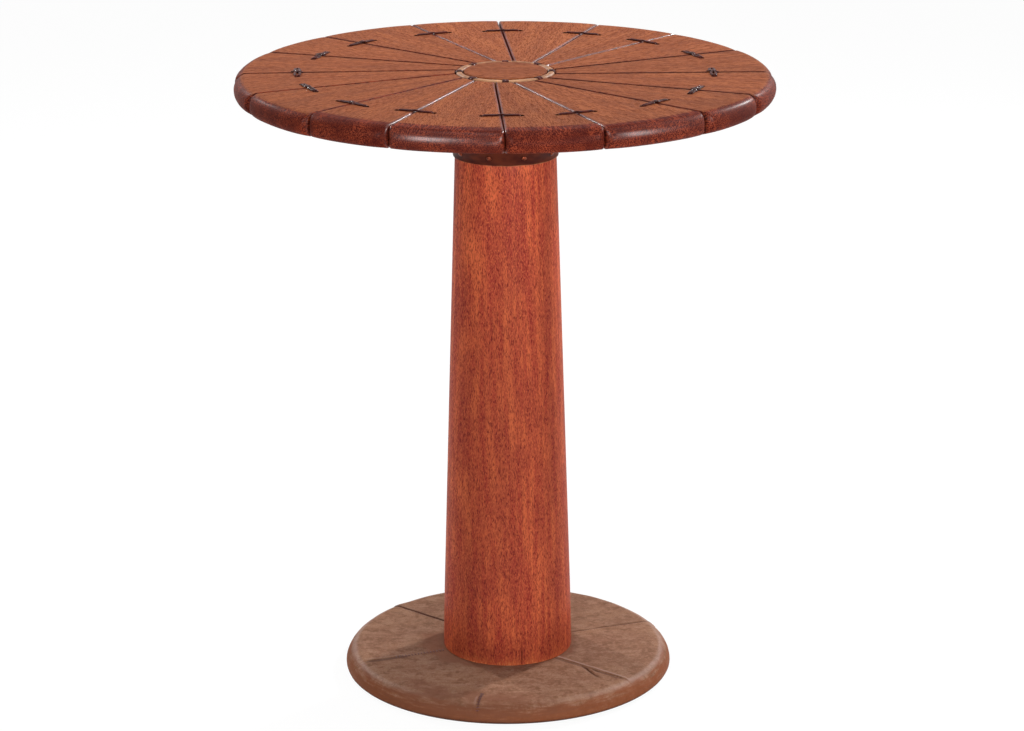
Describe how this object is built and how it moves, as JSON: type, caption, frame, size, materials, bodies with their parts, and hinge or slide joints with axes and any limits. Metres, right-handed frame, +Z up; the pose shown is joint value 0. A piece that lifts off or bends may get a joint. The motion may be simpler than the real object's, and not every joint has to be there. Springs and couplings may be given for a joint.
{
  "type": "pedestal table",
  "caption": "Round pedestal table: wedge-shaped hardwood staves laced edge to edge with leather, on a tapered wooden column and a leather-covered disc foot.",
  "frame": {"origin": "centre of the foot's underside, on the floor", "axes": "+Z up along the column, -Y towards the front, where one seam of the top points"},
  "size_m": [0.635, 0.6348, 0.7486],
  "materials": {
    "top_wood": "satin",
    "column_wood": "satin",
    "inner_wood": "matte",
    "lace_leather": "waxed",
    "rawhide": "matte",
    "base_leather": "satin",
    "collar_leather": "satin",
    "liner_leather": "matte",
    "tack_metal": "aged",
    "steel": "plain"
  },
  "bodies": {
    "root": {"stave_01": "top_wood", "stave_02": "top_wood", "stave_03": "top_wood", "stave_04": "top_wood", "stave_05": "top_wood", "stave_06": "top_wood", "stave_07": "top_wood", "stave_08": "top_wood", "stave_09": "top_wood", "stave_10": "top_wood", "stave_11": "top_wood", "stave_12": "top_wood", "stave_13": "top_wood", "stave_14": "top_wood", "stave_15": "top_wood", "stave_16": "top_wood", "hub_disc": "top_wood", "column": "column_wood", "mounting_plate": "inner_wood", "capital": "inner_wood", "base_core": "inner_wood", "plate_dowel": "inner_wood", "head_dowel": "inner_wood", "foot_dowel": "inner_wood", "tie_01": "lace_leather", "tie_02": "lace_leather", "tie_03": "lace_leather", "tie_04": "lace_leather", "tie_05": "lace_leather", "tie_06": "lace_leather", "tie_07": "lace_leather", "tie_08": "lace_leather", "tie_09": "lace_leather", "tie_10": "lace_leather", "tie_11": "lace_leather", "tie_12": "lace_leather", "tie_13": "lace_leather", "tie_14": "lace_leather", "tie_15": "lace_leather", "tie_16": "lace_leather", "hub_lace": "lace_leather", "rawhide_ring": "rawhide", "base_cover": "base_leather", "leather_collar": "collar_leather", "base_liner": "liner_leather", "tack_01": "tack_metal", "tack_02": "tack_metal", "tack_03": "tack_metal", "tack_04": "tack_metal", "tack_05": "tack_metal", "tack_06": "tack_metal", "tack_07": "tack_metal", "tack_08": "tack_metal", "tack_09": "tack_metal", "tack_10": "tack_metal", "clamp_plate": "steel", "hub_nut": "steel", "foot_nut": "steel", "foot_washer": "steel", "tie_rod": "steel"}
  },
  "joints": []
}
